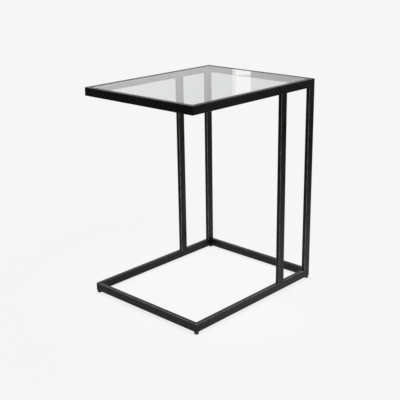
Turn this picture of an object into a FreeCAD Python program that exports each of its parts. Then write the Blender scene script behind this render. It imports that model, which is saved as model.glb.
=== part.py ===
import FreeCAD, Part
import os
import Sketcher

# C-shaped side table: a welded frame of flat rectangular tube carries a drop-in glass pane.
# Origin on the floor at the middle of the table, +Z up, +X right along the front,
# +Y towards the back, where the four posts join the base to the top.

doc = FreeCAD.newDocument("side_table")

# Driving sizes in millimetres, with shares as plain numbers
size_rows = (
    ("overall_width", 440, "left to right, over the outer faces of the side rails"),
    ("overall_depth", 540, "front to back, over the outer faces of the end rails"),
    ("overall_height", 660, "floor to the top of the upper rails"),
    ("tube_width", 12.7, "narrow side of the rectangular tube"),
    ("tube_height", 25.4, "deep side of the rectangular tube"),
    ("tube_wall", 1.2, "wall of the tube"),
    ("tube_corner", 1.2, "outer corner radius of the tube"),
    ("inner_corner_share", 0.5, "least inner corner radius, as a share of the wall"),
    ("inner_post_setback", 150, "back face of the table to the middle of an inner post"),
    ("foot_height", 7, "floor to the underside of the base rails"),
    ("pad_diameter", 13, "round pad of a levelling foot"),
    ("pad_edge", 1.2, "rounded lower edge of a pad"),
    ("pad_bevel", 0.5, "bevel round the upper edge of a pad"),
    ("pad_clearance", 0.3, "gap over a pad that is screwed right in"),
    ("pad_floor", 2, "plastic left under the stud in a pad"),
    ("stud_diameter", 5, "threaded stud of a foot, taken over the crests"),
    ("stud_rise", 2, "stud standing above its bush with the foot screwed in"),
    ("stud_bevel", 0.7, "bevel at the tip of a stud"),
    ("stud_clearance", 0.05, "radial room round a stud"),
    ("bush_diameter", 8, "threaded bush let into the underside of each corner"),
    ("bush_height", 10, "length of a bush"),
    ("bush_clearance", 0.05, "radial room round a bush in its hole"),
    ("glass_thickness", 5, "tempered pane"),
    ("glass_gap", 1.5, "room between the pane and the rails on each side"),
    ("glass_corner", 8, "rounded corners of the pane"),
    ("glass_arris", 0.6, "ground bevel along the pane's edges"),
    ("glass_recess", 0.5, "top of the pane below the top of the rails"),
    ("ledge_width", 6, "flat bar that carries the pane, how far it stands in"),
    ("ledge_thickness", 3, "thickness of that bar"),
    ("bumper_diameter", 5, "clear silicone dot under the pane"),
    ("bumper_height", 1, "height of a dot under load"),
    ("bumper_setback", 60, "inner corner of the rails to the nearest dot"),
    ("cut_overrun", 4, "how far a cut runs past the piece"),
)
sheet = doc.addObject("Spreadsheet::Sheet", "sizes")
for row, (alias, value, note) in enumerate(size_rows, start=1):
    sheet.set(f"A{row}", alias)
    sheet.set(f"B{row}", str(value))
    sheet.set(f"C{row}", note)
    sheet.setAlias(f"B{row}", alias)
doc.recompute()

# Places worked out from the driving sizes, shared by the pieces that meet there
rail_x = "(sizes.overall_width - sizes.tube_width) / 2"
rail_y = "(sizes.overall_depth - sizes.tube_width) / 2"
base_rail_z = "(sizes.foot_height + sizes.tube_height / 2)"
top_rail_z = "(sizes.overall_height - sizes.tube_height / 2)"
base_top_z = "(sizes.foot_height + sizes.tube_height)"
post_length = "(sizes.overall_height - sizes.foot_height - 2 * sizes.tube_height)"
back_post_y = "(sizes.overall_depth - sizes.tube_height) / 2"
inner_post_y = "sizes.overall_depth / 2 - sizes.inner_post_setback"
foot_inset = "sizes.pad_diameter / 2"
foot_x = "(sizes.overall_width / 2 - " + foot_inset + ")"
foot_y = "(sizes.overall_depth / 2 - " + foot_inset + ")"
opening_width = "(sizes.overall_width - 2 * sizes.tube_width)"
opening_depth = "(sizes.overall_depth - 2 * sizes.tube_width)"
glass_bottom_z = "(sizes.overall_height - sizes.glass_recess - sizes.glass_thickness)"
ledge_top_z = "(" + glass_bottom_z + " - sizes.bumper_height)"
ledge_bottom_z = "(" + ledge_top_z + " - sizes.ledge_thickness)"
tube_inner_corner = "max(sizes.tube_corner - sizes.tube_wall; sizes.tube_wall * sizes.inner_corner_share)"

sub_parts = []


def read(expression):
    return float(sheet.evalExpression(expression))


def negative(expression):
    return f"-({expression})"


def place(piece, label, x="0", y="0", z="0", turn=0):
    # Names a finished sub-part and ties its place to the sizes
    piece.Label = label
    piece.Placement = FreeCAD.Placement(FreeCAD.Vector(), FreeCAD.Rotation(FreeCAD.Vector(0, 0, 1), turn))
    for axis, expression in zip("xyz", (x, y, z)):
        piece.setExpression(f"Placement.Base.{axis}", expression)
    sub_parts.append(piece)
    return piece


def new_body(label):
    return doc.addObject("PartDesign::Body", label)


def new_sketch(body, plane, name):
    sketch = body.newObject("Sketcher::SketchObject", name)
    origin_plane = next(f for f in body.Origin.OriginFeatures if f.Role == plane)
    sketch.AttachmentSupport = [(origin_plane, "")]
    sketch.MapMode = "FlatFace"
    return sketch


def bind(sketch, constraint, name, expression):
    # Adds one driving constraint under a name and ties it to the sizes
    index = sketch.addConstraint(constraint)
    sketch.renameConstraint(index, name)
    sketch.setExpression(f"Constraints.{name}", expression)


def draw_rounded_rectangle(sketch, width, height, radius, name):
    # Rounded rectangle centred on the sketch's origin
    half_x = read(width) / 2
    half_y = read(height) / 2
    corner = read(radius)
    flat_x = half_x - corner
    flat_y = half_y - corner
    vector = FreeCAD.Vector
    runs = (
        (vector(-flat_x, -half_y), vector(flat_x, -half_y)),
        (vector(half_x, -flat_y), vector(half_x, flat_y)),
        (vector(flat_x, half_y), vector(-flat_x, half_y)),
        (vector(-half_x, flat_y), vector(-half_x, -flat_y)),
    )
    lines = [sketch.addGeometry(Part.LineSegment(*ends)) for ends in runs]
    centres = (
        vector(flat_x, -flat_y),
        vector(flat_x, flat_y),
        vector(-flat_x, flat_y),
        vector(-flat_x, -flat_y),
    )
    arcs = []
    for quarter, centre in enumerate(centres):
        circle = Part.Circle(centre, vector(0, 0, 1), corner)
        start = FreeCAD.Units.Quantity(f"{(quarter - 1) * 90} deg").getValueAs("rad").Value
        end = FreeCAD.Units.Quantity(f"{quarter * 90} deg").getValueAs("rad").Value
        arcs.append(sketch.addGeometry(Part.ArcOfCircle(circle, start, end)))
    for line, arc, next_line in zip(lines, arcs, lines[1:] + lines[:1]):
        sketch.addConstraint(Sketcher.Constraint("Tangent", line, 2, arc, 1))
        sketch.addConstraint(Sketcher.Constraint("Tangent", arc, 2, next_line, 1))
    bottom, right, top, left = lines
    sketch.addConstraint(Sketcher.Constraint("Horizontal", top))
    sketch.addConstraint(Sketcher.Constraint("Vertical", left))
    for arc in arcs[1:]:
        sketch.addConstraint(Sketcher.Constraint("Equal", arcs[0], arc))
    sketch.addConstraint(Sketcher.Constraint("Symmetric", bottom, 1, bottom, 2, -2))
    sketch.addConstraint(Sketcher.Constraint("Symmetric", right, 1, right, 2, -1))
    bind(sketch, Sketcher.Constraint("Radius", arcs[0], corner), f"{name}_radius", radius)
    bind(sketch, Sketcher.Constraint("DistanceX", left, 2, right, 1, 2 * half_x), f"{name}_width", width)
    bind(sketch, Sketcher.Constraint("DistanceY", bottom, 1, top, 2, 2 * half_y), f"{name}_height", height)


def draw_circle(sketch, x, y, diameter, name):
    # Circle at a place measured from the sketch's origin
    centre = FreeCAD.Vector(read(x), read(y), 0)
    circle = sketch.addGeometry(Part.Circle(centre, FreeCAD.Vector(0, 0, 1), read(diameter) / 2))
    bind(sketch, Sketcher.Constraint("Diameter", circle, read(diameter)), f"{name}_diameter", diameter)
    bind(sketch, Sketcher.Constraint("DistanceX", -1, 1, circle, 3, centre.x), f"{name}_x", x)
    bind(sketch, Sketcher.Constraint("DistanceY", -1, 1, circle, 3, centre.y), f"{name}_y", y)


def draw_mitre(sketch, side, length, name):
    # Triangle that takes a 45 degree mitre off one end of a rail, clear of the rail all round
    reach = f"({length} / 2 + sizes.cut_overrun)"
    rise = "(sizes.tube_width / 2 + sizes.cut_overrun)"
    leg = "(sizes.tube_width + 2 * sizes.cut_overrun)"
    tip = FreeCAD.Vector(side * read(reach), read(rise), 0)
    outer = tip - FreeCAD.Vector(0, read(leg), 0)
    inner = tip - FreeCAD.Vector(side * read(leg), 0, 0)
    edge = sketch.addGeometry(Part.LineSegment(outer, tip))
    crown = sketch.addGeometry(Part.LineSegment(tip, inner))
    slope = sketch.addGeometry(Part.LineSegment(inner, outer))
    for first, second in ((edge, crown), (crown, slope), (slope, edge)):
        sketch.addConstraint(Sketcher.Constraint("Coincident", first, 2, second, 1))
    sketch.addConstraint(Sketcher.Constraint("Vertical", edge))
    sketch.addConstraint(Sketcher.Constraint("Horizontal", crown))
    reach_to = reach if side > 0 else negative(reach)
    leg_to = leg if side < 0 else negative(leg)
    bind(sketch, Sketcher.Constraint("DistanceX", -1, 1, edge, 2, tip.x), f"{name}_reach", reach_to)
    bind(sketch, Sketcher.Constraint("DistanceY", -1, 1, edge, 2, tip.y), f"{name}_rise", rise)
    bind(sketch, Sketcher.Constraint("DistanceY", edge, 1, edge, 2, read(leg)), f"{name}_drop", leg)
    bind(sketch, Sketcher.Constraint("DistanceX", crown, 1, crown, 2, read(leg_to)), f"{name}_run", leg_to)


def pad_profile(body, sketch, name, length, symmetric=False):
    pad = body.newObject("PartDesign::Pad", name)
    pad.Profile = sketch
    pad.SideType = "Symmetric" if symmetric else "One side"
    pad.setExpression("Length", length)
    return pad


def cut_pocket(body, sketch, name, depth=None, both_ways=False):
    # Cuts the sketch into the body, to a depth or right through, and makes sure that it bit
    doc.recompute()
    before = body.Shape.Volume
    pocket = body.newObject("PartDesign::Pocket", name)
    pocket.Profile = sketch
    pocket.SideType = "Symmetric" if both_ways else "One side"
    if depth:
        pocket.setExpression("Length", depth)
    else:
        pocket.Type = "ThroughAll"
    doc.recompute()
    if not body.Shape.Volume < before:
        raise RuntimeError(f"{name} removed nothing")
    return pocket


def draw_tube(sketch, across, along):
    # Tube section: the outer outline and the bore, one wall apart
    draw_rounded_rectangle(sketch, across, along, "sizes.tube_corner", "outer")
    bore_across = f"({across} - 2 * sizes.tube_wall)"
    bore_along = f"({along} - 2 * sizes.tube_wall)"
    draw_rounded_rectangle(sketch, bore_across, bore_along, tube_inner_corner, "bore")


def edges_at(shape, level):
    # Names of the edges that lie flat at one height
    def flat(edge):
        drift = max(abs(edge.BoundBox.ZMin - level), abs(edge.BoundBox.ZMax - level))
        return drift < Part.Precision.confusion()

    return [f"Edge{number}" for number, edge in enumerate(shape.Edges, start=1) if flat(edge)]


def dress_edges(body, base, kind, level, amount, name):
    # Fillet or chamfer along the edges of the last feature that lie at one height
    doc.recompute()
    feature = body.newObject(f"PartDesign::{kind}", name)
    feature.Base = (base, edges_at(base.Shape, level))
    feature.setExpression("Radius" if kind == "Fillet" else "Size", amount)
    return feature


def make_rail(label, length, x, y, z, turn, foot_holes):
    # Rail standing on edge, mitred at both ends, its outer face towards local -Y
    body = new_body(label)
    section = new_sketch(body, "YZ_Plane", f"{label}_section")
    draw_tube(section, "sizes.tube_width", "sizes.tube_height")
    pad_profile(body, section, f"{label}_tube", length, symmetric=True)
    mitres = new_sketch(body, "XY_Plane", f"{label}_mitres")
    draw_mitre(mitres, 1, length, "right")
    draw_mitre(mitres, -1, length, "left")
    cut_pocket(body, mitres, f"{label}_mitre_cut", both_ways=True)
    if foot_holes:
        holes = new_sketch(body, "XY_Plane", f"{label}_foot_holes")
        along = f"({length} / 2 - {foot_inset})"
        across = f"({foot_inset} - sizes.tube_width / 2)"
        diameter = "(sizes.bush_diameter + 2 * sizes.bush_clearance)"
        draw_circle(holes, along, across, diameter, "right")
        draw_circle(holes, negative(along), across, diameter, "left")
        cut_pocket(body, holes, f"{label}_foot_hole_cut")
    return place(body, label, x, y, z, turn)


def make_frame_ring(level, z, foot_holes):
    # Four mitred rails that make one rectangle, at the base or at the top
    width = "sizes.overall_width"
    depth = "sizes.overall_depth"
    make_rail(f"{level}_front_rail", width, "0", negative(rail_y), z, 0, foot_holes)
    make_rail(f"{level}_right_rail", depth, rail_x, "0", z, 90, foot_holes)
    make_rail(f"{level}_back_rail", width, "0", rail_y, z, 180, foot_holes)
    make_rail(f"{level}_left_rail", depth, negative(rail_x), "0", z, 270, foot_holes)


def make_post(label, x, y):
    # Upright tube from the base side rail to the top side rail, deep side along the rail
    body = new_body(label)
    section = new_sketch(body, "XY_Plane", f"{label}_section")
    draw_tube(section, "sizes.tube_width", "sizes.tube_height")
    pad_profile(body, section, f"{label}_tube", post_length)
    return place(body, label, x, y, base_top_z)


def make_ledge(side, length, width, x, y):
    # Flat bar welded inside a top rail, under the edge of the pane
    label = f"{side}_glass_ledge"
    bar = doc.addObject("Part::Box", label)
    bar.setExpression("Length", length)
    bar.setExpression("Width", width)
    bar.setExpression("Height", "sizes.ledge_thickness")
    return place(bar, label, x, y, ledge_bottom_z)


def make_ledges():
    # The end bars run the whole width of the opening, and the side bars fit between them
    bar = "sizes.ledge_width"
    half_width = f"{opening_width} / 2"
    half_depth = f"{opening_depth} / 2"
    side_length = f"({opening_depth} - 2 * {bar})"
    side_start = f"-{side_length} / 2"
    make_ledge("front", opening_width, bar, negative(half_width), negative(half_depth))
    make_ledge("back", opening_width, bar, negative(half_width), f"{half_depth} - {bar}")
    make_ledge("left", bar, side_length, negative(half_width), side_start)
    make_ledge("right", bar, side_length, f"{half_width} - {bar}", side_start)


def make_glass_pane():
    # Drop-in pane with rounded corners and a ground bevel along every edge
    body = new_body("glass_pane")
    outline = new_sketch(body, "XY_Plane", "glass_pane_outline")
    pane_width = f"({opening_width} - 2 * sizes.glass_gap)"
    pane_depth = f"({opening_depth} - 2 * sizes.glass_gap)"
    draw_rounded_rectangle(outline, pane_width, pane_depth, "sizes.glass_corner", "pane")
    pane = pad_profile(body, outline, "glass_pane_sheet", "sizes.glass_thickness")
    lower = dress_edges(body, pane, "Chamfer", 0, "sizes.glass_arris", "glass_pane_lower_arris")
    upper = read("sizes.glass_thickness")
    dress_edges(body, lower, "Chamfer", upper, "sizes.glass_arris", "glass_pane_upper_arris")
    return place(body, "glass_pane", z=glass_bottom_z)


def make_glass_bumpers():
    # Clear dots between the ledges and the pane, two along each ledge
    body = new_body("glass_bumpers")
    dots = new_sketch(body, "XY_Plane", "glass_bumpers_dots")
    rim_x = f"({opening_width} / 2 - sizes.ledge_width / 2)"
    rim_y = f"({opening_depth} / 2 - sizes.ledge_width / 2)"
    near_x = f"({opening_width} / 2 - sizes.bumper_setback)"
    near_y = f"({opening_depth} / 2 - sizes.bumper_setback)"
    signs = {"plus": str, "minus": negative}
    for x_name, x_sign in signs.items():
        for y_name, y_sign in signs.items():
            corner = f"{x_name}_{y_name}"
            draw_circle(dots, x_sign(near_x), y_sign(rim_y), "sizes.bumper_diameter", f"end_{corner}")
            draw_circle(dots, x_sign(rim_x), y_sign(near_y), "sizes.bumper_diameter", f"side_{corner}")
    pad_profile(body, dots, "glass_bumpers_height", "sizes.bumper_height")
    return place(body, "glass_bumpers", z=ledge_top_z)


def make_foot_bushes(corners):
    # Threaded bushes welded into the underside of the base corners, flush with the rails
    body = new_body("foot_bushes")
    rings = new_sketch(body, "XY_Plane", "foot_bushes_rings")
    bore = "(sizes.stud_diameter + 2 * sizes.stud_clearance)"
    for corner, (x, y) in corners.items():
        draw_circle(rings, x, y, "sizes.bush_diameter", f"{corner}_outer")
        draw_circle(rings, x, y, bore, f"{corner}_bore")
    pad_profile(body, rings, "foot_bushes_height", "sizes.bush_height")
    return place(body, "foot_bushes", z="sizes.foot_height")


def make_foot_stud(corner, x, y):
    # Stud of one levelling foot, from inside its pad to just above its bush
    label = f"{corner}_foot_stud"
    body = new_body(label)
    disc = new_sketch(body, "XY_Plane", f"{label}_disc")
    draw_circle(disc, "0", "0", "sizes.stud_diameter", "stud")
    foot_of_stud = "(sizes.pad_floor + sizes.pad_clearance)"
    length = f"(sizes.foot_height + sizes.bush_height + sizes.stud_rise - {foot_of_stud})"
    rod = pad_profile(body, disc, f"{label}_rod", length)
    dress_edges(body, rod, "Chamfer", read(length), "sizes.stud_bevel", f"{label}_tip")
    return place(body, label, x, y, foot_of_stud)


def make_foot_pad(corner, x, y):
    # Moulded pad of one levelling foot, with a blind bore for its stud
    label = f"{corner}_foot_pad"
    body = new_body(label)
    disc = new_sketch(body, "XY_Plane", f"{label}_disc")
    draw_circle(disc, "0", "0", "sizes.pad_diameter", "pad")
    height = "(sizes.foot_height - sizes.pad_clearance)"
    puck = pad_profile(body, disc, f"{label}_puck", height)
    rounded = dress_edges(body, puck, "Fillet", 0, "sizes.pad_edge", f"{label}_lower_edge")
    dress_edges(body, rounded, "Chamfer", read(height), "sizes.pad_bevel", f"{label}_upper_edge")
    bore = new_sketch(body, "XY_Plane", f"{label}_bore")
    bore.AttachmentOffset = FreeCAD.Placement()
    bore.setExpression("AttachmentOffset.Base.z", height)
    draw_circle(bore, "0", "0", "(sizes.stud_diameter + 2 * sizes.stud_clearance)", "bore")
    cut_pocket(body, bore, f"{label}_bore_cut", depth=f"{height} - sizes.pad_floor")
    return place(body, label, x, y)


make_frame_ring("base", base_rail_z, foot_holes=True)
make_frame_ring("top", top_rail_z, foot_holes=False)
for side_name, post_x in (("left", negative(rail_x)), ("right", rail_x)):
    make_post(f"back_{side_name}_post", post_x, back_post_y)
    make_post(f"inner_{side_name}_post", post_x, inner_post_y)
make_ledges()
make_glass_bumpers()
make_glass_pane()

foot_corners = {
    "front_left": (negative(foot_x), negative(foot_y)),
    "front_right": (foot_x, negative(foot_y)),
    "back_left": (negative(foot_x), foot_y),
    "back_right": (foot_x, foot_y),
}
make_foot_bushes(foot_corners)
for corner_name, (corner_x, corner_y) in foot_corners.items():
    make_foot_stud(corner_name, corner_x, corner_y)
    make_foot_pad(corner_name, corner_x, corner_y)

doc.recompute()
for item in doc.Objects:
    if "Invalid" in item.State or "Error" in item.State:
        raise RuntimeError(f"{item.Label} failed to build: {item.State}")
for piece in sub_parts:
    if piece.Shape.isNull() or not piece.Shape.isValid():
        raise RuntimeError(f"{piece.Label} has no valid shape")

os.makedirs("parts", exist_ok=True)
for piece in sub_parts:
    box = piece.Shape.BoundBox
    print(f"{piece.Label}: {len(piece.Shape.Solids)} solid(s), {piece.Shape.Volume:.1f} mm3, "
          f"x {box.XMin:.2f} to {box.XMax:.2f}, y {box.YMin:.2f} to {box.YMax:.2f}, "
          f"z {box.ZMin:.2f} to {box.ZMax:.2f}")
    piece.Shape.exportStep(f"parts/{piece.Label}.step")
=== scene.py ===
import math

import bpy
from mathutils import Matrix, Vector


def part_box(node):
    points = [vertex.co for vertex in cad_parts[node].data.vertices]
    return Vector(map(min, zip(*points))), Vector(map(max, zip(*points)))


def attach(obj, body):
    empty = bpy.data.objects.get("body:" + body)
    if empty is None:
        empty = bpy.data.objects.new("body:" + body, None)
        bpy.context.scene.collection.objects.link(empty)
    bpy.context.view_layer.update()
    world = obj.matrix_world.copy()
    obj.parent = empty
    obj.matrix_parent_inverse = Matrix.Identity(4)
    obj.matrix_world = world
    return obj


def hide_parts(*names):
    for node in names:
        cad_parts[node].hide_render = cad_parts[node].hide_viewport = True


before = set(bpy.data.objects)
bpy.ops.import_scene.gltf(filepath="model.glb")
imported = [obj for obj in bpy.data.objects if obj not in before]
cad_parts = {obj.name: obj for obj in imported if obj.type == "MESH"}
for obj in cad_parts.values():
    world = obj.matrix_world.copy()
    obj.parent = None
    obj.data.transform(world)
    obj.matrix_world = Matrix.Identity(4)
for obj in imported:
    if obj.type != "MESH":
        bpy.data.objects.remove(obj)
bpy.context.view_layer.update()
scene = bpy.context.scene
scene.view_settings.view_transform = "Standard"
print("frame loaded:", len(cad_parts), "nodes")


def linear(hexColour):
    channels = [int(hexColour[i:i + 2], 16) / 255 for i in (1, 3, 5)]
    return [c / 12.92 if c <= 0.04045 else ((c + 0.055) / 1.055) ** 2.4 for c in channels] + [1.0]


# adds a node: inputs by name or number take a value, a socket or a node (its first output)
def addNode(tree, kind, inputs=None, **settings):
    node = tree.nodes.new(kind)
    for key, value in settings.items():
        setattr(node, key, value)
    for key, value in (inputs or {}).items():
        if isinstance(value, bpy.types.Node):
            value = value.outputs[0]
        if isinstance(value, bpy.types.NodeSocket):
            tree.links.new(value, node.inputs[key])
        else:
            node.inputs[key].default_value = value
    return node


# an empty material, and the place on the piece that its patterns read
def newMaterial(name):
    material = bpy.data.materials.new(name)
    material.use_nodes = True
    tree = material.node_tree
    tree.nodes.clear()
    place = addNode(tree, "ShaderNodeTexCoord").outputs["Object"]
    return material, tree, place


mmPerMetre = 1000
# most of a noise pattern's values lie between these two
noiseLow = 0.3
noiseHigh = 0.7


# satin black polyester powder coat baked on steel tube: near black with a soft sheen, slightly cloudy, and
# lighter over the corners with a painted highlight and some wear, grey where weaker and bronze where
# strongest
coatLook = {
    "flat": "#131212", "cloud": "#1B1918", "scuffAndSheen": "#A6A4A4", "rubAndSheen": "#9A8A78",
    "rubAndSheenFrom": 0.66, "rubAndSheenTo": 0.78,  # how strong the painted corner highlight and wear are where the grey turns to bronze
    "cloudMm": 60, "cloudFrom": 0.35, "cloudTo": 0.65,
    "sheenAndWearMm": 25, "sheenAndWearFrom": 0.3, "sheenAndWearTo": 0.6, "sheenAndWearLeast": 0.55,
    "peelMm": 5,  # real orange peel is about 1 mm, too fine to show, so it is drawn coarser
    "peelHeight": 0.00004, "peelStrength": 0.5,
    "roughLow": 0.31, "roughHigh": 0.40, "ior": 1.5,
    "shine": 0.20,  # flatting agent in the powder takes away more than half of a gloss coat's shine
}
blackCoat, tree, place = newMaterial("blackPowderCoatSatin")
corner = addNode(tree, "ShaderNodeAttribute", attribute_name="edge").outputs["Fac"]
cloud = addNode(tree, "ShaderNodeTexNoise", {
    "Vector": place, "Scale": mmPerMetre / coatLook["cloudMm"], "Detail": 3.0})
sheenAndWearNoise = addNode(tree, "ShaderNodeTexNoise", {
    "Vector": place, "Scale": mmPerMetre / coatLook["sheenAndWearMm"], "Detail": 2.0})
peel = addNode(tree, "ShaderNodeTexNoise", {
    "Vector": place, "Scale": mmPerMetre / coatLook["peelMm"], "Detail": 1.0})
spread = addNode(tree, "ShaderNodeMapRange", {0: cloud, 1: coatLook["cloudFrom"], 2: coatLook["cloudTo"]})
# the corners' lighter colour is a painted highlight with some wear, broken up in patches
sheenAndWearPatches = addNode(tree, "ShaderNodeMapRange", {
    0: sheenAndWearNoise, 1: coatLook["sheenAndWearFrom"], 2: coatLook["sheenAndWearTo"], 3: coatLook["sheenAndWearLeast"], 4: 1.0})
sheenAndWear = addNode(tree, "ShaderNodeMath", {0: corner, 1: sheenAndWearPatches}, operation="MULTIPLY")
deep = addNode(tree, "ShaderNodeMapRange", {0: corner, 1: coatLook["rubAndSheenFrom"], 2: coatLook["rubAndSheenTo"]})
edgeSheenAndWearColour = addNode(tree, "ShaderNodeMix",
                {0: deep, 6: linear(coatLook["scuffAndSheen"]), 7: linear(coatLook["rubAndSheen"])}, data_type="RGBA")
face = addNode(tree, "ShaderNodeMix",
               {0: spread, 6: linear(coatLook["flat"]), 7: linear(coatLook["cloud"])}, data_type="RGBA")
colour = addNode(tree, "ShaderNodeMix",
                 {0: sheenAndWear, 6: face.outputs[2], 7: edgeSheenAndWearColour.outputs[2]}, data_type="RGBA")
rough = addNode(tree, "ShaderNodeMapRange", {
    0: cloud, 1: noiseLow, 2: noiseHigh, 3: coatLook["roughLow"], 4: coatLook["roughHigh"]})
bump = addNode(tree, "ShaderNodeBump", {
    "Strength": coatLook["peelStrength"], "Distance": coatLook["peelHeight"], "Height": peel})
shader = addNode(tree, "ShaderNodeBsdfPrincipled", {
    "Base Color": colour.outputs[2], "Roughness": rough, "IOR": coatLook["ior"],
    "Specular IOR Level": coatLook["shine"], "Normal": bump})
addNode(tree, "ShaderNodeOutputMaterial", {"Surface": shader})

# tempered clear float glass, fire polished: slightly cool and grey, wiped faces with faint streaks
glassLook = {
    "tint": "#DBDDDE", "roughLow": 0.0, "roughHigh": 0.02, "ior": 1.52,
    "streakMm": 90, "streakTurn": 0.5, "streakFrom": 0.5, "streakTo": 0.75,
    "streakScale": 0.25,  # a streak is four times as long as it is wide
}
clearGlass, tree, place = newMaterial("clearFloatGlassPolished")
wiped = addNode(tree, "ShaderNodeMapping", {
    "Vector": place, "Rotation": (0, 0, glassLook["streakTurn"]), "Scale": (1, glassLook["streakScale"], 1)})
streak = addNode(tree, "ShaderNodeTexNoise", {
    "Vector": wiped, "Scale": mmPerMetre / glassLook["streakMm"], "Detail": 4.0})
rough = addNode(tree, "ShaderNodeMapRange", {
    0: streak, 1: glassLook["streakFrom"], 2: glassLook["streakTo"],
    3: glassLook["roughLow"], 4: glassLook["roughHigh"]})
shader = addNode(tree, "ShaderNodeBsdfPrincipled", {
    "Base Color": linear(glassLook["tint"]), "Roughness": rough, "IOR": glassLook["ior"],
    "Transmission Weight": 1.0})
addNode(tree, "ShaderNodeOutputMaterial", {"Surface": shader})

# the same glass where its edge was ground: frosted, and green because one looks along the sheet
groundLook = {
    "pale": "#B4CFC6", "deep": "#8FB5A8", "roughLow": 0.3, "roughHigh": 0.5, "ior": 1.52,
    "gritMm": 1.5,  # real grinding marks are about 0.1 mm, drawn coarser
}
groundGlass, tree, place = newMaterial("floatGlassGroundEdge")
grit = addNode(tree, "ShaderNodeTexNoise", {
    "Vector": place, "Scale": mmPerMetre / groundLook["gritMm"], "Detail": 2.0})
colour = addNode(tree, "ShaderNodeMix",
                 {0: grit, 6: linear(groundLook["pale"]), 7: linear(groundLook["deep"])}, data_type="RGBA")
rough = addNode(tree, "ShaderNodeMapRange", {
    0: grit, 1: noiseLow, 2: noiseHigh, 3: groundLook["roughLow"], 4: groundLook["roughHigh"]})
shader = addNode(tree, "ShaderNodeBsdfPrincipled", {
    "Base Color": colour.outputs[2], "Roughness": rough, "IOR": groundLook["ior"],
    "Transmission Weight": 1.0})
addNode(tree, "ShaderNodeOutputMaterial", {"Surface": shader})

# clear cast silicone dots: soft milky clear with a dull skin
siliconeLook = {
    "pale": "#D9DDDD", "milky": "#BFC6C6", "milkMm": 2, "clearness": 0.9,
    "roughLow": 0.25, "roughHigh": 0.4, "ior": 1.41,
}
clearSilicone, tree, place = newMaterial("clearSiliconeCast")
milk = addNode(tree, "ShaderNodeTexNoise", {
    "Vector": place, "Scale": mmPerMetre / siliconeLook["milkMm"]})
colour = addNode(
    tree, "ShaderNodeMix",
    {0: milk, 6: linear(siliconeLook["pale"]), 7: linear(siliconeLook["milky"])}, data_type="RGBA")
rough = addNode(tree, "ShaderNodeMapRange", {
    0: milk, 1: noiseLow, 2: noiseHigh, 3: siliconeLook["roughLow"], 4: siliconeLook["roughHigh"]})
shader = addNode(tree, "ShaderNodeBsdfPrincipled", {
    "Base Color": colour.outputs[2], "Roughness": rough, "IOR": siliconeLook["ior"],
    "Transmission Weight": siliconeLook["clearness"]})
addNode(tree, "ShaderNodeOutputMaterial", {"Surface": shader})

# injection moulded black nylon: matt, with the fine grain of a spark-eroded mould
nylonLook = {
    "low": "#101010", "high": "#1C1C1B", "ior": 1.53, "roughLow": 0.45, "roughHigh": 0.6,
    "grainMm": 0.8,  # the real grain is about 0.1 mm, drawn coarser
    "grainHeight": 0.00006, "grainStrength": 0.6,
}
blackNylon, tree, place = newMaterial("blackNylonMoulded")
grain = addNode(tree, "ShaderNodeTexNoise", {
    "Vector": place, "Scale": mmPerMetre / nylonLook["grainMm"], "Detail": 2.0})
colour = addNode(tree, "ShaderNodeMix",
                 {0: grain, 6: linear(nylonLook["low"]), 7: linear(nylonLook["high"])}, data_type="RGBA")
rough = addNode(tree, "ShaderNodeMapRange", {
    0: grain, 1: noiseLow, 2: noiseHigh, 3: nylonLook["roughLow"], 4: nylonLook["roughHigh"]})
bump = addNode(tree, "ShaderNodeBump", {
    "Strength": nylonLook["grainStrength"], "Distance": nylonLook["grainHeight"], "Height": grain})
shader = addNode(tree, "ShaderNodeBsdfPrincipled", {
    "Base Color": colour.outputs[2], "Roughness": rough, "IOR": nylonLook["ior"], "Normal": bump})
addNode(tree, "ShaderNodeOutputMaterial", {"Surface": shader})

# bright zinc plate with a clear passivation: pale grey metal that drifts from bluish to straw
zincLook = {"blue": "#B3BAC4", "straw": "#C8C2AE", "driftMm": 4, "roughLow": 0.25, "roughHigh": 0.42}
zincPlate, tree, place = newMaterial("brightZincPlatedSteel")
drift = addNode(tree, "ShaderNodeTexNoise", {
    "Vector": place, "Scale": mmPerMetre / zincLook["driftMm"], "Detail": 3.0})
colour = addNode(tree, "ShaderNodeMix",
                 {0: drift, 6: linear(zincLook["blue"]), 7: linear(zincLook["straw"])}, data_type="RGBA")
rough = addNode(tree, "ShaderNodeMapRange", {
    0: drift, 1: noiseLow, 2: noiseHigh, 3: zincLook["roughLow"], 4: zincLook["roughHigh"]})
shader = addNode(tree, "ShaderNodeBsdfPrincipled", {
    "Base Color": colour.outputs[2], "Metallic": 1.0, "Roughness": rough})
addNode(tree, "ShaderNodeOutputMaterial", {"Surface": shader})
print("materials made")


def newTree(name, inputs):
    tree = bpy.data.node_groups.new(name, "GeometryNodeTree")
    for label, kind in inputs.items():
        tree.interface.new_socket(label, in_out="INPUT", socket_type="NodeSocket" + kind)
    tree.interface.new_socket("Mesh", in_out="OUTPUT", socket_type="NodeSocketGeometry")
    return tree, addNode(tree, "NodeGroupInput").outputs


sharpAngle = 0.6  # radians, past which two faces meet in a sharp edge
drillSteps = 48  # sides of a drilled hole
mergeWithin = 0.00001  # points that a cut leaves closer than this become one


# smooth faces with sharp edges where they meet steeply, then the material
def closeTree(tree, mesh, material):
    smooth = addNode(tree, "GeometryNodeSetShadeSmooth",
                     {"Geometry": mesh, "Shade Smooth": True}, domain="FACE")
    angle = addNode(tree, "GeometryNodeInputMeshEdgeAngle")
    steep = addNode(tree, "FunctionNodeCompare",
                    {0: angle, 1: sharpAngle}, data_type="FLOAT", operation="GREATER_THAN")
    sharp = addNode(tree, "GeometryNodeSetShadeSmooth",
                    {"Geometry": smooth, "Selection": steep, "Shade Smooth": False}, domain="EDGE")
    real = addNode(tree, "GeometryNodeRealizeInstances", {"Geometry": sharp})
    painted = addNode(tree, "GeometryNodeSetMaterial", {"Geometry": real, "Material": material})
    addNode(tree, "NodeGroupOutput", {0: painted})


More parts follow.
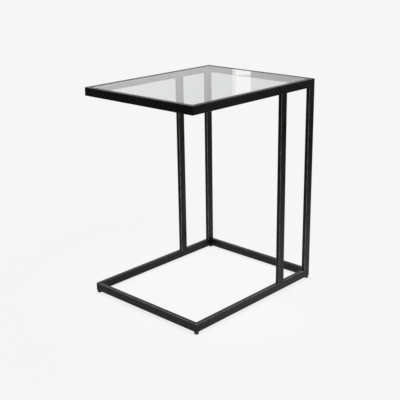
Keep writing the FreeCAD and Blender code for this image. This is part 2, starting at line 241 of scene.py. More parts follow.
# runs a tree and keeps the result as a plain mesh, put in its place
def growPiece(name, tree, values, place, arris=None):
    piece = bpy.data.objects.new(name, bpy.data.meshes.new(name))
    scene.collection.objects.link(piece)
    grow = piece.modifiers.new("grow", "NODES")
    grow.node_group = tree
    for socket in tree.interface.items_tree:
        if socket.in_out == "INPUT":
            grow[socket.identifier] = values[socket.name]
    if arris:
        bevel = piece.modifiers.new("arris", "BEVEL")
        bevel.width = arris["width"]
        bevel.segments = arris["steps"]
        bevel.angle_limit = math.radians(arris["angle"])
    flat = piece.modifiers.new("flat", "WEIGHTED_NORMAL")
    flat.keep_sharp = True
    graph = bpy.context.evaluated_depsgraph_get()
    mesh = bpy.data.meshes.new_from_object(
        piece.evaluated_get(graph), preserve_all_data_layers=True, depsgraph=graph)
    piece.modifiers.clear()
    if mesh.materials[0] is None:  # a mesh primitive brings an empty slot
        mesh.materials.pop(index=0)
    mesh.transform(place)
    mesh.name = name
    piece.data = mesh
    return piece


# a node's size, and the shift from the origin to its middle
def sizeAndPlace(node):
    low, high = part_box(node)
    return high - low, Matrix.Translation((low + high) / 2)


def finishPiece(piece, body, slot, *nodes):
    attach(piece, body)
    if nodes:
        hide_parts(*nodes)


# a straight bar of rounded rectangle section along local Z, outer face at +X: rails get mitred ends
# whose outer corner is ground round, posts get ends that follow the rounded edges of the rail they stand on
barTree, given = newTree("roundedBar", {
    "Length": "Float", "Width": "Float", "Height": "Float", "Corner": "Float", "Corner steps": "Int",
    "Mitre": "Float", "Ground corner": "Float", "Ground steps": "Int",
    "Cope": "Float", "Back flush": "Float", "Sheen and wear": "Float", "Inner sheen and wear": "Float",
    "Foot holes": "Bool", "Hole diameter": "Float", "Hole depth": "Float", "Hole inset": "Float",
    "Material": "Material"})
tree = barTree
halfLength = addNode(tree, "ShaderNodeMath", {0: given["Length"], 1: 0.5}, operation="MULTIPLY")
halfWidth = addNode(tree, "ShaderNodeMath", {0: given["Width"], 1: 0.5}, operation="MULTIPLY")
halfHeight = addNode(tree, "ShaderNodeMath", {0: given["Height"], 1: 0.5}, operation="MULTIPLY")
lowEnd = addNode(tree, "ShaderNodeMath", {0: halfLength, 1: -1.0}, operation="MULTIPLY")
lowWidth = addNode(tree, "ShaderNodeMath", {0: halfWidth, 1: -1.0}, operation="MULTIPLY")
section = addNode(tree, "GeometryNodeCurvePrimitiveQuadrilateral",
                  {"Width": given["Width"], "Height": given["Height"]})
rounded = addNode(tree, "GeometryNodeFilletCurve",
                  {"Curve": section, "Count": given["Corner steps"], "Radius": given["Corner"]}, mode="POLY")
pathStart = addNode(tree, "ShaderNodeCombineXYZ", {"Z": lowEnd})
pathEnd = addNode(tree, "ShaderNodeCombineXYZ", {"Z": halfLength})
straight = addNode(tree, "GeometryNodeCurvePrimitiveLine", {"Start": pathStart, "End": pathEnd})
# more cuts near both ends, an eighth of a turn in even steps
cuts = addNode(tree, "ShaderNodeMath", {0: given["Ground steps"], 1: 2.0, 2: 2.0}, operation="MULTIPLY_ADD")
lastCut = addNode(tree, "ShaderNodeMath", {0: cuts, 1: 1.0}, operation="SUBTRACT")
cutLine = addNode(tree, "GeometryNodeResampleCurve", {"Curve": straight, "Count": cuts}, mode="COUNT")
cut = addNode(tree, "GeometryNodeInputIndex")
cutBack = addNode(tree, "ShaderNodeMath", {0: lastCut, 1: cut}, operation="SUBTRACT")
step = addNode(tree, "ShaderNodeMath", {0: cut, 1: cutBack}, operation="MINIMUM")
stepShare = addNode(tree, "ShaderNodeMath", {0: step, 1: given["Ground steps"]}, operation="DIVIDE")
swing = addNode(tree, "ShaderNodeMapRange", {0: stepShare, 1: 0.0, 2: 1.0, 3: math.pi / 4, 4: 0.0})
swingSine = addNode(tree, "ShaderNodeMath", {0: swing}, operation="SINE")
sineLeft = addNode(tree, "ShaderNodeMath", {0: 1.0, 1: swingSine}, operation="SUBTRACT")
fromEnd = addNode(tree, "ShaderNodeMath", {0: sineLeft, 1: given["Ground corner"]}, operation="MULTIPLY")
cutPlace = addNode(tree, "ShaderNodeMath", {0: halfLength, 1: fromEnd}, operation="SUBTRACT")
pastMiddle = addNode(tree, "ShaderNodeMath", {0: cut, 1: cutBack}, operation="SUBTRACT")
halfSign = addNode(tree, "ShaderNodeMath", {0: pastMiddle}, operation="SIGN")
cutZ = addNode(tree, "ShaderNodeMath", {0: cutPlace, 1: halfSign}, operation="MULTIPLY")
path = addNode(tree, "GeometryNodeSetPosition",
               {"Geometry": cutLine, "Position": addNode(tree, "ShaderNodeCombineXYZ", {"Z": cutZ})})
bar = addNode(tree, "GeometryNodeCurveToMesh", {"Curve": path, "Profile Curve": rounded, "Fill Caps": True})
spot = addNode(tree, "ShaderNodeSeparateXYZ", {0: addNode(tree, "GeometryNodeInputPosition")}).outputs
across = addNode(tree, "ShaderNodeMath", {0: spot["X"]}, operation="ABSOLUTE")
along = addNode(tree, "ShaderNodeMath", {0: spot["Y"]}, operation="ABSOLUTE")
whichEnd = addNode(tree, "ShaderNodeMath", {0: spot["Z"]}, operation="SIGN")
# ground corner: the outer face bends in towards the end, and the depth behind it gives way less and less
fromOuter = addNode(tree, "ShaderNodeMath", {0: halfWidth, 1: spot["X"]}, operation="SUBTRACT")
height = addNode(tree, "ShaderNodeMath", {0: spot["Z"]}, operation="ABSOLUTE")
toEnd = addNode(tree, "ShaderNodeMath", {0: halfLength, 1: height}, operation="SUBTRACT")
endShare = addNode(tree, "ShaderNodeMath", {0: toEnd, 1: given["Ground corner"]}, operation="DIVIDE")
bendSine = addNode(tree, "ShaderNodeMath", {0: 1.0, 1: endShare}, operation="SUBTRACT", use_clamp=True)
bend = addNode(tree, "ShaderNodeMath", {0: bendSine}, operation="ARCSINE")
bendCosine = addNode(tree, "ShaderNodeMath", {0: bend}, operation="COSINE")
cosineLeft = addNode(tree, "ShaderNodeMath", {0: 1.0, 1: bendCosine}, operation="SUBTRACT")
groundOff = addNode(tree, "ShaderNodeMath", {0: cosineLeft, 1: given["Ground corner"]}, operation="MULTIPLY")
depthShare = addNode(tree, "ShaderNodeMath", {0: fromOuter, 1: given["Ground corner"]}, operation="DIVIDE")
nearOuter = addNode(tree, "ShaderNodeMath", {0: 1.0, 1: depthShare}, operation="SUBTRACT", use_clamp=True)
pushed = addNode(tree, "ShaderNodeMath", {0: groundOff, 1: nearOuter}, operation="MULTIPLY")
inward = addNode(tree, "ShaderNodeMath", {0: pushed, 1: -1.0}, operation="MULTIPLY")
# mitre: the further from the outer face, the shorter
behind = addNode(tree, "ShaderNodeMath", {0: fromOuter, 1: pushed}, operation="ADD")
behindFace = addNode(tree, "ShaderNodeMath", {0: behind, 1: groundOff}, operation="SUBTRACT")
mitred = addNode(tree, "ShaderNodeMath", {0: behindFace, 1: given["Mitre"]}, operation="MULTIPLY")
# cope: the end reaches down over the rail's rounded edge
fromSide = addNode(tree, "ShaderNodeMath", {0: halfWidth, 1: across}, operation="SUBTRACT")
fromBack = addNode(tree, "ShaderNodeMath", {0: halfHeight, 1: spot["Y"]}, operation="SUBTRACT")
notFlush = addNode(tree, "ShaderNodeMath", {0: 1.0, 1: given["Back flush"]}, operation="SUBTRACT")
farBack = addNode(tree, "ShaderNodeMath", {0: fromBack, 1: notFlush}, operation="ADD")
fromEdge = addNode(tree, "ShaderNodeMath", {0: fromSide, 1: farBack}, operation="MINIMUM")
intoCorner = addNode(tree, "ShaderNodeMath", {0: given["Corner"], 1: fromEdge}, operation="SUBTRACT")
overCorner = addNode(tree, "ShaderNodeMath", {0: intoCorner, 1: 0.0}, operation="MAXIMUM")
squared = addNode(tree, "ShaderNodeMath", {0: overCorner, 1: overCorner}, operation="MULTIPLY")
cornerSquared = addNode(tree, "ShaderNodeMath",
                        {0: given["Corner"], 1: given["Corner"]}, operation="MULTIPLY")
left = addNode(tree, "ShaderNodeMath", {0: cornerSquared, 1: squared}, operation="SUBTRACT")
root = addNode(tree, "ShaderNodeMath", {0: left}, operation="SQRT")
drop = addNode(tree, "ShaderNodeMath", {0: given["Corner"], 1: root}, operation="SUBTRACT")
coped = addNode(tree, "ShaderNodeMath", {0: drop, 1: given["Cope"]}, operation="MULTIPLY")
longer = addNode(tree, "ShaderNodeMath", {0: coped, 1: mitred}, operation="SUBTRACT")
shift = addNode(tree, "ShaderNodeMath", {0: longer, 1: whichEnd}, operation="MULTIPLY")
offset = addNode(tree, "ShaderNodeCombineXYZ", {"X": inward, "Z": shift})
cutBar = addNode(tree, "GeometryNodeSetPosition", {"Geometry": bar, "Offset": offset})
# holes for the foot bushes in the underside, half in each of the two rails of a corner
holeRadius = addNode(tree, "ShaderNodeMath", {0: given["Hole diameter"], 1: 0.5}, operation="MULTIPLY")
doubleDepth = addNode(tree, "ShaderNodeMath", {0: given["Hole depth"], 1: 2.0}, operation="MULTIPLY")
drill = addNode(tree, "GeometryNodeMeshCylinder",
                {"Vertices": drillSteps, "Radius": holeRadius, "Depth": doubleDepth})
holeX = addNode(tree, "ShaderNodeMath", {0: halfWidth, 1: given["Hole inset"]}, operation="SUBTRACT")
holeY = addNode(tree, "ShaderNodeMath", {0: halfHeight, 1: -1.0}, operation="MULTIPLY")
holeZ = addNode(tree, "ShaderNodeMath", {0: halfLength, 1: given["Hole inset"]}, operation="SUBTRACT")
holeLow = addNode(tree, "ShaderNodeMath", {0: holeZ, 1: -1.0}, operation="MULTIPLY")
firstHole = addNode(tree, "ShaderNodeCombineXYZ", {"X": holeX, "Y": holeY, "Z": holeLow})
lastHole = addNode(tree, "ShaderNodeCombineXYZ", {"X": holeX, "Y": holeY, "Z": holeZ})
holePair = addNode(tree, "GeometryNodeCurvePrimitiveLine", {"Start": firstHole, "End": lastHole})
drills = addNode(tree, "GeometryNodeInstanceOnPoints",
                 {"Points": holePair, "Instance": drill.outputs["Mesh"], "Rotation": (math.pi / 2, 0, 0)})
realDrills = addNode(tree, "GeometryNodeRealizeInstances", {"Geometry": drills})
drilled = addNode(tree, "GeometryNodeMeshBoolean", {"Mesh 1": cutBar, "Mesh 2": realDrills},
                  operation="DIFFERENCE", solver="EXACT")
clean = addNode(tree, "GeometryNodeMergeByDistance",
                {"Geometry": drilled.outputs["Mesh"], "Distance": mergeWithin})
chosen = addNode(tree, "GeometryNodeSwitch",
                 {"Switch": given["Foot holes"], "False": cutBar, "True": clean}, input_type="GEOMETRY")
# edge: how strong the painted corner highlight and wear are, most in the middle of a rounded corner and none
# on the flats, going over from the inner side's share to the outer side's
flatWidth = addNode(tree, "ShaderNodeMath", {0: halfWidth, 1: given["Corner"]}, operation="SUBTRACT")
flatHeight = addNode(tree, "ShaderNodeMath", {0: halfHeight, 1: given["Corner"]}, operation="SUBTRACT")
pastWidth = addNode(tree, "ShaderNodeMath", {0: across, 1: flatWidth}, operation="SUBTRACT")
pastHeight = addNode(tree, "ShaderNodeMath", {0: along, 1: flatHeight}, operation="SUBTRACT")
past = addNode(tree, "ShaderNodeMath", {0: pastWidth, 1: pastHeight}, operation="MINIMUM")
middle = addNode(tree, "ShaderNodeMath", {0: given["Corner"], 1: math.sqrt(0.5)}, operation="MULTIPLY")
edge = addNode(tree, "ShaderNodeMath", {0: past, 1: middle}, operation="DIVIDE", use_clamp=True)
# the outer side gets more painted highlight than the inner side
sideSheenAndWear = addNode(tree, "ShaderNodeMapRange",
                  {0: spot["X"], 1: lowWidth, 2: halfWidth, 3: given["Inner sheen and wear"], 4: given["Sheen and wear"]})
sheenAndWear = addNode(tree, "ShaderNodeMath", {0: edge, 1: sideSheenAndWear}, operation="MULTIPLY")
marked = addNode(tree, "GeometryNodeStoreNamedAttribute",
                 {"Geometry": chosen, "Name": "edge", "Value": sheenAndWear}, data_type="FLOAT", domain="POINT")
closeTree(tree, marked, given["Material"])

outward = {
    "front": Vector((0, -1, 0)), "back": Vector((0, 1, 0)),
    "left": Vector((-1, 0, 0)), "right": Vector((1, 0, 0)),
}


# a bar that stands for a node: its length runs across the outward side, its height is up
def barOnSide(name, node, side, values):
    size, place = sizeAndPlace(node)
    out = outward[side]
    up = Vector((0, 0, 1))
    run = out.cross(up)
    turn = Matrix((out, up, run)).transposed().to_4x4()
    sizes = {"Length": abs(run.dot(size)), "Width": abs(out.dot(size)), "Height": size.z}
    return growPiece(name, barTree, {**values, **sizes}, place @ turn)


# a bar that stands for a node and keeps its length upright
def barUpright(name, node, values, arris=None):
    size, place = sizeAndPlace(node)
    sizes = {"Length": size.z, "Width": size.x, "Height": size.y}
    return growPiece(name, barTree, {**values, **sizes}, place, arris)


tubeLook = {
    "Corner": 0.0012, "Corner steps": 6, "Mitre": 0.0, "Ground corner": 0.0, "Ground steps": 0,
    "Cope": 0.0, "Back flush": 0.0, "Sheen and wear": 0.1, "Inner sheen and wear": 0.1,
    "Foot holes": False, "Hole diameter": 0.0081, "Hole depth": 0.0101, "Hole inset": 0.0065,
    "Material": blackCoat,
}
railLook = {**tubeLook, "Mitre": 1.0, "Ground corner": 0.0014, "Ground steps": 4}
railSheenAndWear = {"base": 0.65, "top": 0.1}  # the base rails' outer edges get a strong painted highlight with some scuffing, the top rails' a faint one
# the Wear values set how strongly each piece's corners are painted lighter as a highlight
for level in ("base", "top"):
    for side in outward:
        node = f"{level}_{side}_rail"
        rail = barOnSide(f"{level}{side.title()}Rail", node, side,
                         {**railLook, "Sheen and wear": railSheenAndWear[level], "Foot holes": level == "base"})
        finishPiece(rail, "frame", "black_steel", node)
print("rails made")

postLook = {**tubeLook, "Cope": 1.0, "Sheen and wear": 1.0, "Inner sheen and wear": 1.0}  # the posts' corners get the strongest painted highlight, bronze, with some wear
for where in ("inner", "back"):
    for side in ("left", "right"):
        node = f"{where}_{side}_post"
        post = barUpright(f"{where}{side.title()}Post", node,
                          {**postLook, "Back flush": 1.0 if where == "back" else 0.0})
        finishPiece(post, "frame", "black_steel", node)
print("posts made")

ledgeLook = {**tubeLook, "Corner": 0.0006, "Corner steps": 3}
for side in outward:
    node = f"{side}_glass_ledge"
    finishPiece(barOnSide(f"{side}Ledge", node, side, ledgeLook), "frame", "black_steel", node)
print("ledges made")

paneLook = {**tubeLook, "Corner": 0.008, "Corner steps": 12, "Material": clearGlass}
paneArris = {"width": 0.0006, "steps": 2, "angle": 50}
polishedFrom = 0.9  # faces that point up or down by this much are polished, the others are ground
pane = barUpright("glassPane", "glass_pane", paneLook, paneArris)
pane.data.materials.append(groundGlass)
for polygon in pane.data.polygons:
    polygon.material_index = 0 if abs(polygon.normal.z) > polishedFrom else 1
finishPiece(pane, "glass_top", "clear_glass", "glass_pane")
# clear glass lets the lamps through
pane.visible_shadow = False
pane.visible_diffuse = False
print("glass made")

# a turned part along Z: rounded rims, and grooves in a soft wave. Grooves round it make flutes, grooves
# along it make rings, and one round with many along is a thread
turnedTree, given = newTree("turnedPart", {
    "Diameter": "Float", "Length": "Float", "Low rim": "Float", "High rim": "Float",
    "Steps round": "Int", "Steps along": "Int", "Grooves round": "Float", "Grooves per metre": "Float",
    "Groove depth": "Float", "Bore": "Bool", "Bore diameter": "Float", "Bore depth": "Float",
    "Material": "Material"})
tree = turnedTree
radius = addNode(tree, "ShaderNodeMath", {0: given["Diameter"], 1: 0.5}, operation="MULTIPLY")
halfLength = addNode(tree, "ShaderNodeMath", {0: given["Length"], 1: 0.5}, operation="MULTIPLY")
rod = addNode(tree, "GeometryNodeMeshCylinder", {
    "Vertices": given["Steps round"], "Side Segments": given["Steps along"],
    "Radius": radius, "Depth": given["Length"]})
spot = addNode(tree, "ShaderNodeSeparateXYZ", {0: addNode(tree, "GeometryNodeInputPosition")}).outputs
angle = addNode(tree, "ShaderNodeMath", {0: spot["Y"], 1: spot["X"]}, operation="ARCTAN2")
roundIt = addNode(tree, "ShaderNodeMath", {0: angle, 1: given["Grooves round"]}, operation="MULTIPLY")
perMetre = addNode(tree, "ShaderNodeMath",
                   {0: given["Grooves per metre"], 1: 2 * math.pi}, operation="MULTIPLY")
alongIt = addNode(tree, "ShaderNodeMath", {0: spot["Z"], 1: perMetre}, operation="MULTIPLY")
phase = addNode(tree, "ShaderNodeMath", {0: roundIt, 1: alongIt}, operation="ADD")
wave = addNode(tree, "ShaderNodeMath", {0: phase}, operation="COSINE")
inset = addNode(tree, "ShaderNodeMapRange", {0: wave, 1: 1.0, 2: -1.0, 3: 0.0, 4: given["Groove depth"]})
# each rim is a quarter round that cuts the grooves off
for rim, side in ((given["Low rim"], 1.0), (given["High rim"], -1.0)):
    inward = addNode(tree, "ShaderNodeMath", {0: spot["Z"], 1: side, 2: halfLength}, operation="MULTIPLY_ADD")
    short = addNode(tree, "ShaderNodeMath", {0: rim, 1: inward}, operation="SUBTRACT")
    into = addNode(tree, "ShaderNodeMath", {0: short, 1: 0.0}, operation="MAXIMUM")
    intoSquared = addNode(tree, "ShaderNodeMath", {0: into, 1: into}, operation="MULTIPLY")
    rimSquared = addNode(tree, "ShaderNodeMath", {0: rim, 1: rim}, operation="MULTIPLY")
    left = addNode(tree, "ShaderNodeMath", {0: rimSquared, 1: intoSquared}, operation="SUBTRACT")
    root = addNode(tree, "ShaderNodeMath", {0: left}, operation="SQRT")
    cut = addNode(tree, "ShaderNodeMath", {0: rim, 1: root}, operation="SUBTRACT")
    inset = addNode(tree, "ShaderNodeMath", {0: inset, 1: cut}, operation="MAXIMUM")
shrink = addNode(tree, "ShaderNodeMath", {0: inset, 1: radius}, operation="DIVIDE")
factor = addNode(tree, "ShaderNodeMath", {0: 1.0, 1: shrink}, operation="SUBTRACT")
scale = addNode(tree, "ShaderNodeCombineXYZ", {"X": factor, "Y": factor, "Z": 1.0})
where = addNode(tree, "ShaderNodeVectorMath",
                {0: addNode(tree, "GeometryNodeInputPosition"), 1: scale}, operation="MULTIPLY")
turned = addNode(tree, "GeometryNodeSetPosition", {"Geometry": rod.outputs["Mesh"], "Position": where})
# blind bore from the high end
boreRadius = addNode(tree, "ShaderNodeMath", {0: given["Bore diameter"], 1: 0.5}, operation="MULTIPLY")
doubleDepth = addNode(tree, "ShaderNodeMath", {0: given["Bore depth"], 1: 2.0}, operation="MULTIPLY")
drill = addNode(tree, "GeometryNodeMeshCylinder",
                {"Vertices": drillSteps, "Radius": boreRadius, "Depth": doubleDepth})
atTop = addNode(tree, "ShaderNodeCombineXYZ", {"Z": halfLength})
setDrill = addNode(tree, "GeometryNodeTransform", {"Geometry": drill.outputs["Mesh"], "Translation": atTop})
bored = addNode(tree, "GeometryNodeMeshBoolean", {"Mesh 1": turned, "Mesh 2": setDrill},
                operation="DIFFERENCE", solver="EXACT")
chosen = addNode(
    tree, "GeometryNodeSwitch",
    {"Switch": given["Bore"], "False": turned, "True": bored.outputs["Mesh"]}, input_type="GEOMETRY")
closeTree(tree, chosen, given["Material"])

plainTurned = {"Grooves round": 0.0, "Grooves per metre": 0.0, "Groove depth": 0.0,
               "Bore": False, "Bore diameter": 0.0, "Bore depth": 0.0}
studLook = {**plainTurned, "Low rim": 0.0003, "High rim": 0.0007, "Steps round": 40, "Steps along": 200,
            "Grooves round": -1.0, "Grooves per metre": 1250.0, "Groove depth": 0.00049,  # M5, 0.8 mm pitch
            "Material": zincPlate}
padLook = {**plainTurned, "Low rim": 0.0012, "High rim": 0.0005, "Steps round": 192, "Steps along": 48,
           "Grooves round": 24.0, "Groove depth": 0.0003,  # flutes for the fingers
           "Bore": True, "Bore diameter": 0.0051, "Bore depth": 0.0047, "Material": blackNylon}
footParts = (("stud", "stud", studLook, "zinc_steel"), ("pad", "foot", padLook, "black_plastic"))
for end in ("front", "back"):
    for side in ("left", "right"):
        for part, body, look, slot in footParts:
            node = f"{end}_{side}_foot_{part}"
            size, place = sizeAndPlace(node)
            piece = growPiece(f"{end}{side.title()}Foot{part.title()}", turnedTree,
                              {**look, "Diameter": size.x, "Length": size.z}, place)
            finishPiece(piece, f"{end}_{side}_{body}", slot, node)
print("feet made")

# turned parts in rows along the four rails, standing up or lying along their row
rowTree, given = newTree("rowsAlongRails", {
    "Width": "Float", "Depth": "Float", "Corner gap": "Float", "Count": "Int", "Lying": "Float",
    "Diameter": "Float", "Length": "Float", "Low rim": "Float", "High rim": "Float",
    "Steps round": "Int", "Steps along": "Int", "Grooves per metre": "Float", "Groove depth": "Float",
    "Material": "Material"})
tree = rowTree
shared = ("Diameter", "Length", "Low rim", "High rim", "Steps round", "Steps along", "Grooves per metre",
          "Groove depth", "Material")
one = addNode(tree, "GeometryNodeGroup", {label: given[label] for label in shared}, node_tree=turnedTree)
runs = {}
for label in ("Width", "Depth"):
    runs[label] = addNode(tree, "ShaderNodeMath",
                          {0: given["Corner gap"], 1: -2.0, 2: given[label]}, operation="MULTIPLY_ADD")
quarter = addNode(tree, "ShaderNodeMath", {0: given["Lying"], 1: math.pi / 2}, operation="MULTIPLY")
rows = addNode(tree, "GeometryNodeJoinGeometry")
layouts = (
    (runs["Width"], given["Depth"], given["Count"], 2, "Y"),  # along the front and back rail
    (given["Width"], runs["Depth"], 2, given["Count"], "X"),  # along the left and right rail
)
for sizeX, sizeY, countX, countY, tip in layouts:
    spots = addNode(tree, "GeometryNodeMeshGrid",
                    {"Size X": sizeX, "Size Y": sizeY, "Vertices X": countX, "Vertices Y": countY})
    tilt = addNode(tree, "ShaderNodeCombineXYZ", {tip: quarter})
    row = addNode(tree, "GeometryNodeInstanceOnPoints",
                  {"Points": spots.outputs["Mesh"], "Instance": one, "Rotation": tilt})
    tree.links.new(row.outputs[0], rows.inputs[0])
closeTree(tree, rows, given["Material"])

dotLook = {
    "Diameter": 0.005, "Corner gap": 0.057, "Count": 2, "Lying": 0.0, "Low rim": 0.0001, "High rim": 0.0007,
    "Steps round": 32, "Steps along": 12, "Grooves per metre": 0.0, "Groove depth": 0.0,
    "Material": clearSilicone,
}
size, place = sizeAndPlace("glass_bumpers")
dotSizes = {
    "Width": size.x - dotLook["Diameter"], "Depth": size.y - dotLook["Diameter"], "Length": size.z,
}
dots = growPiece("glassDots", rowTree, {**dotLook, **dotSizes}, place)
finishPiece(dots, "frame", "clear_silicone", "glass_bumpers")

# stitch welds in the corner under the ledges, left as they were laid
weldLook = {
    "Diameter": 0.003, "Length": 0.024, "Corner gap": 0.060, "Count": 4, "Lying": 1.0,
    "Low rim": 0.0012, "High rim": 0.0012, "Steps round": 14, "Steps along": 72,
    "Grooves per metre": 600.0, "Groove depth": 0.0003, "Material": blackCoat,
}
weldInset = 0.0006
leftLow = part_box("left_glass_ledge")[0]
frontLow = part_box("front_glass_ledge")[0]
weldSizes = {"Width": -2 * (leftLow.x + weldInset), "Depth": -2 * (frontLow.y + weldInset)}
welds = growPiece("ledgeWelds", rowTree, {**weldLook, **weldSizes},
                  Matrix.Translation((0, 0, leftLow.z - weldInset)))
finishPiece(welds, "frame", "black_steel")
print("dots and welds made")

# the bushes show only their ring from below, so their solids stay
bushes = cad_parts["foot_bushes"].data
bushes.materials.clear()
bushes.materials.append(zincPlate)

# stage: pale paper that the camera and the glass see evenly, with a trace of the table's shadow
stageLook = {
    "paper": "#F6F6F6", "size": 12.0, "fibreMm": 1.1, "fibreDark": 0.78, "fibrePale": 0.86,
    "shadeNear": 0.38, "shadeFar": 0.85, "shade": 0.11,
    "poolAt": (0.25, 0.22, 0), "poolNear": 0.3, "poolFar": 1.45, "poolLeast": 0.11,
    "domeColour": "#FFFFFF", "dome": 0.10, "plain": 0.87,
    "brightSide": (-1.0, 0, 0), "brightFrom": 0.60, "brightTo": 0.77, "brightest": 1.05,
    "darkSide": (-0.7, -0.7, 0), "darkFrom": 0.2, "darkTo": 0.9, "darkest": 0.3,
}
paper, tree, place = newMaterial("paleStudioPaper")
reach = addNode(tree, "ShaderNodeVectorMath", {0: place}, operation="LENGTH").outputs["Value"]
even = addNode(tree, "ShaderNodeMapRange", {
    0: reach, 1: stageLook["shadeNear"], 2: stageLook["shadeFar"], 3: 1 - stageLook["shade"], 4: 1.0})
ray = addNode(tree, "ShaderNodeLightPath").outputs
seen = addNode(tree, "ShaderNodeMath",
               {0: ray["Is Camera Ray"], 1: ray["Is Transmission Ray"]}, operation="MAXIMUM")
direct = addNode(tree, "ShaderNodeMath", {0: seen, 1: even}, operation="MULTIPLY")
# reflections show the paper as a painted pool of light, glowing brightest near poolAt and fading out to the
# pool's edge
fromPaintedPool = addNode(tree, "ShaderNodeVectorMath", {0: place, 1: stageLook["poolAt"]}, operation="DISTANCE")
paintedPool = addNode(tree, "ShaderNodeMapRange", {
    0: fromPaintedPool.outputs["Value"], 1: stageLook["poolNear"], 2: stageLook["poolFar"],
    3: 1.0, 4: stageLook["poolLeast"]})
bright = addNode(tree, "ShaderNodeMath", {0: seen, 1: paintedPool}, operation="MAXIMUM")
share = addNode(tree, "ShaderNodeMath", {0: direct, 1: ray["Is Glossy Ray"]}, operation="MAXIMUM")
fibre = addNode(tree, "ShaderNodeTexNoise", {
    "Vector": place, "Scale": mmPerMetre / stageLook["fibreMm"], "Detail": 2.0})
tone = addNode(tree, "ShaderNodeMapRange", {0: fibre, 3: stageLook["fibreDark"], 4: stageLook["fibrePale"]})
lit = addNode(tree, "ShaderNodeBsdfDiffuse", {"Color": tone})
glow = addNode(tree, "ShaderNodeEmission", {"Color": linear(stageLook["paper"]), "Strength": bright})
mixed = addNode(tree, "ShaderNodeMixShader", {0: share, 1: lit, 2: glow})
addNode(tree, "ShaderNodeOutputMaterial", {"Surface": mixed})

floorMesh = bpy.data.meshes.new("floor")
half = stageLook["size"] / 2
corners = [(-half, -half, 0), (half, -half, 0), (half, half, 0), (-half, half, 0)]
floorMesh.from_pydata(corners, [], [(0, 1, 2, 3)])
floor = bpy.data.objects.new("floor", floorMesh)
scene.collection.objects.link(floor)
floorMesh.materials.append(paper)

world = bpy.data.worlds.new("paleStudio")
scene.world = world
world.use_nodes = True
tree = world.node_tree
tree.nodes.clear()
ray = addNode(tree, "ShaderNodeLightPath").outputs
seen = addNode(tree, "ShaderNodeMath",
               {0: ray["Is Camera Ray"], 1: ray["Is Transmission Ray"]}, operation="MAXIMUM")
shown = addNode(tree, "ShaderNodeMath", {0: seen, 1: ray["Is Glossy Ray"]}, operation="MAXIMUM")
dome = addNode(tree, "ShaderNodeBackground",
               {"Color": linear(stageLook["domeColour"]), "Strength": stageLook["dome"]})
heading = addNode(tree, "ShaderNodeTexCoord").outputs["Generated"]
# reflections show a room with one bright and one dark side
toBright = addNode(tree, "ShaderNodeVectorMath",
                   {0: heading, 1: stageLook["brightSide"]}, operation="DOT_PRODUCT")
glare = addNode(tree, "ShaderNodeMapRange", {
    0: toBright.outputs["Value"], 1: stageLook["brightFrom"], 2: stageLook["brightTo"],
    3: stageLook["plain"], 4: stageLook["brightest"]})
toDark = addNode(tree, "ShaderNodeVectorMath",
                 {0: heading, 1: stageLook["darkSide"]}, operation="DOT_PRODUCT")
gloom = addNode(tree, "ShaderNodeMapRange", {
    0: toDark.outputs["Value"], 1: stageLook["darkFrom"], 2: stageLook["darkTo"],
    3: 1.0, 4: stageLook["darkest"]})
mirrored = addNode(tree, "ShaderNodeMath", {0: glare, 1: gloom}, operation="MULTIPLY")
unmirrored = addNode(tree, "ShaderNodeMath",
                     {0: 1.0, 1: ray["Glossy Depth"]}, operation="SUBTRACT", use_clamp=True)
strength = addNode(tree, "ShaderNodeMix", {"Factor": unmirrored, "A": mirrored, "B": 1.0})
backdrop = addNode(tree, "ShaderNodeBackground",
                   {"Color": linear(stageLook["paper"]), "Strength": strength})
both = addNode(tree, "ShaderNodeMixShader", {0: shown, 1: dome, 2: backdrop})
addNode(tree, "ShaderNodeOutputWorld", {"Surface": both})

lamps = {"softboxOverhead": {
    "at": (0.05, 0.05, 1.45), "aim": (0.05, 0.05, 0), "size": (1.0, 1.0), "watts": 17.5,
    "colour": "#FFFFFF", "spread": 130, "mirrored": False, "throughGlass": False}}
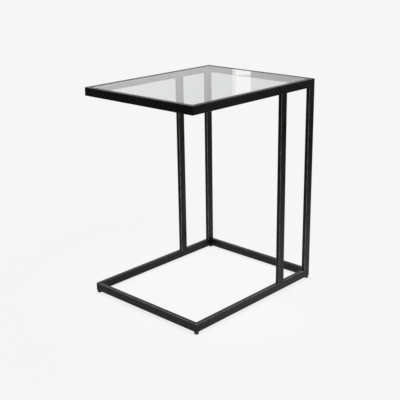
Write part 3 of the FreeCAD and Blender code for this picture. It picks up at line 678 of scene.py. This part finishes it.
# a tall strip behind the table that shows in the glass: a white core with a warmer edge, brightest low down
stripAim = (1.627, -1.731)
stripParts = {
    "Behind": {"at": (-1.3442, 1.7806), "width": 0.0855, "wattsPerArea": 1.202, "colour": "#FFFEF9"},
    "Edge": {"at": (-1.3825, 1.7442), "width": 0.020, "wattsPerArea": 0.7234, "colour": "#FFFCE8"},
}
stripLevels = {
    "High": {"middle": 1.438, "height": 0.864, "gain": 1.0},
    "Low": {"middle": 0.898, "height": 0.216, "gain": 2.207},
}
for part, strip in stripParts.items():
    for level, span in stripLevels.items():
        lamps[f"strip{part}{level}"] = {
            "at": (*strip["at"], span["middle"]), "aim": (*stripAim, span["middle"]),
            "size": (strip["width"], span["height"]),
            "watts": strip["wattsPerArea"] * span["gain"] * strip["width"] * span["height"],
            "colour": strip["colour"], "spread": 180, "mirrored": True, "throughGlass": True}
lamps["lowWarmPanel"] = {
    "at": (0.95, -0.95, 0.17), "aim": (0.1, 0.1, 0.17), "size": (1.2, 0.3), "watts": 1.7,
    "colour": "#FFDDC2", "spread": 180, "mirrored": True, "throughGlass": False}
for name, lamp in lamps.items():
    light = bpy.data.lights.new(name, "AREA")
    light.shape = "RECTANGLE"
    light.size, light.size_y = lamp["size"]
    light.energy = lamp["watts"]
    light.color = linear(lamp["colour"])[:3]
    light.spread = math.radians(lamp["spread"])
    holder = bpy.data.objects.new(name, light)
    scene.collection.objects.link(holder)
    aim = Vector(lamp["aim"]) - Vector(lamp["at"])
    holder.matrix_world = Matrix.Translation(lamp["at"]) @ aim.to_track_quat("-Z", "Y").to_matrix().to_4x4()
    holder.visible_camera = False
    holder.visible_glossy = lamp["mirrored"]
    holder.visible_transmission = lamp["throughGlass"]
print("stage and lamps set")

# the photograph's camera
shot = {"azimuth": 43.50, "elevation": 18.31, "distance": 2.5129, "roll": -0.90,
        "target": (-0.01476, 0, 0.2864), "lens": 71.672, "sensor": 36.0}
azimuth, elevation, roll = (math.radians(shot[k]) for k in ("azimuth", "elevation", "roll"))
levelShare = math.cos(elevation)
back = Vector((math.sin(azimuth) * levelShare, -math.cos(azimuth) * levelShare, math.sin(elevation)))
right = Vector((math.cos(azimuth), math.sin(azimuth), 0))
up = back.cross(right)
rolledRight = math.cos(roll) * right + math.sin(roll) * up
rolledUp = math.cos(roll) * up - math.sin(roll) * right
camera = bpy.data.objects.new("camera", bpy.data.cameras.new("camera"))
scene.collection.objects.link(camera)
camera.data.lens = shot["lens"]
camera.data.sensor_width = shot["sensor"]
turn = Matrix((rolledRight, rolledUp, back)).transposed().to_4x4()
camera.matrix_world = Matrix.Translation(Vector(shot["target"]) + back * shot["distance"]) @ turn
scene.camera = camera
print("camera set")
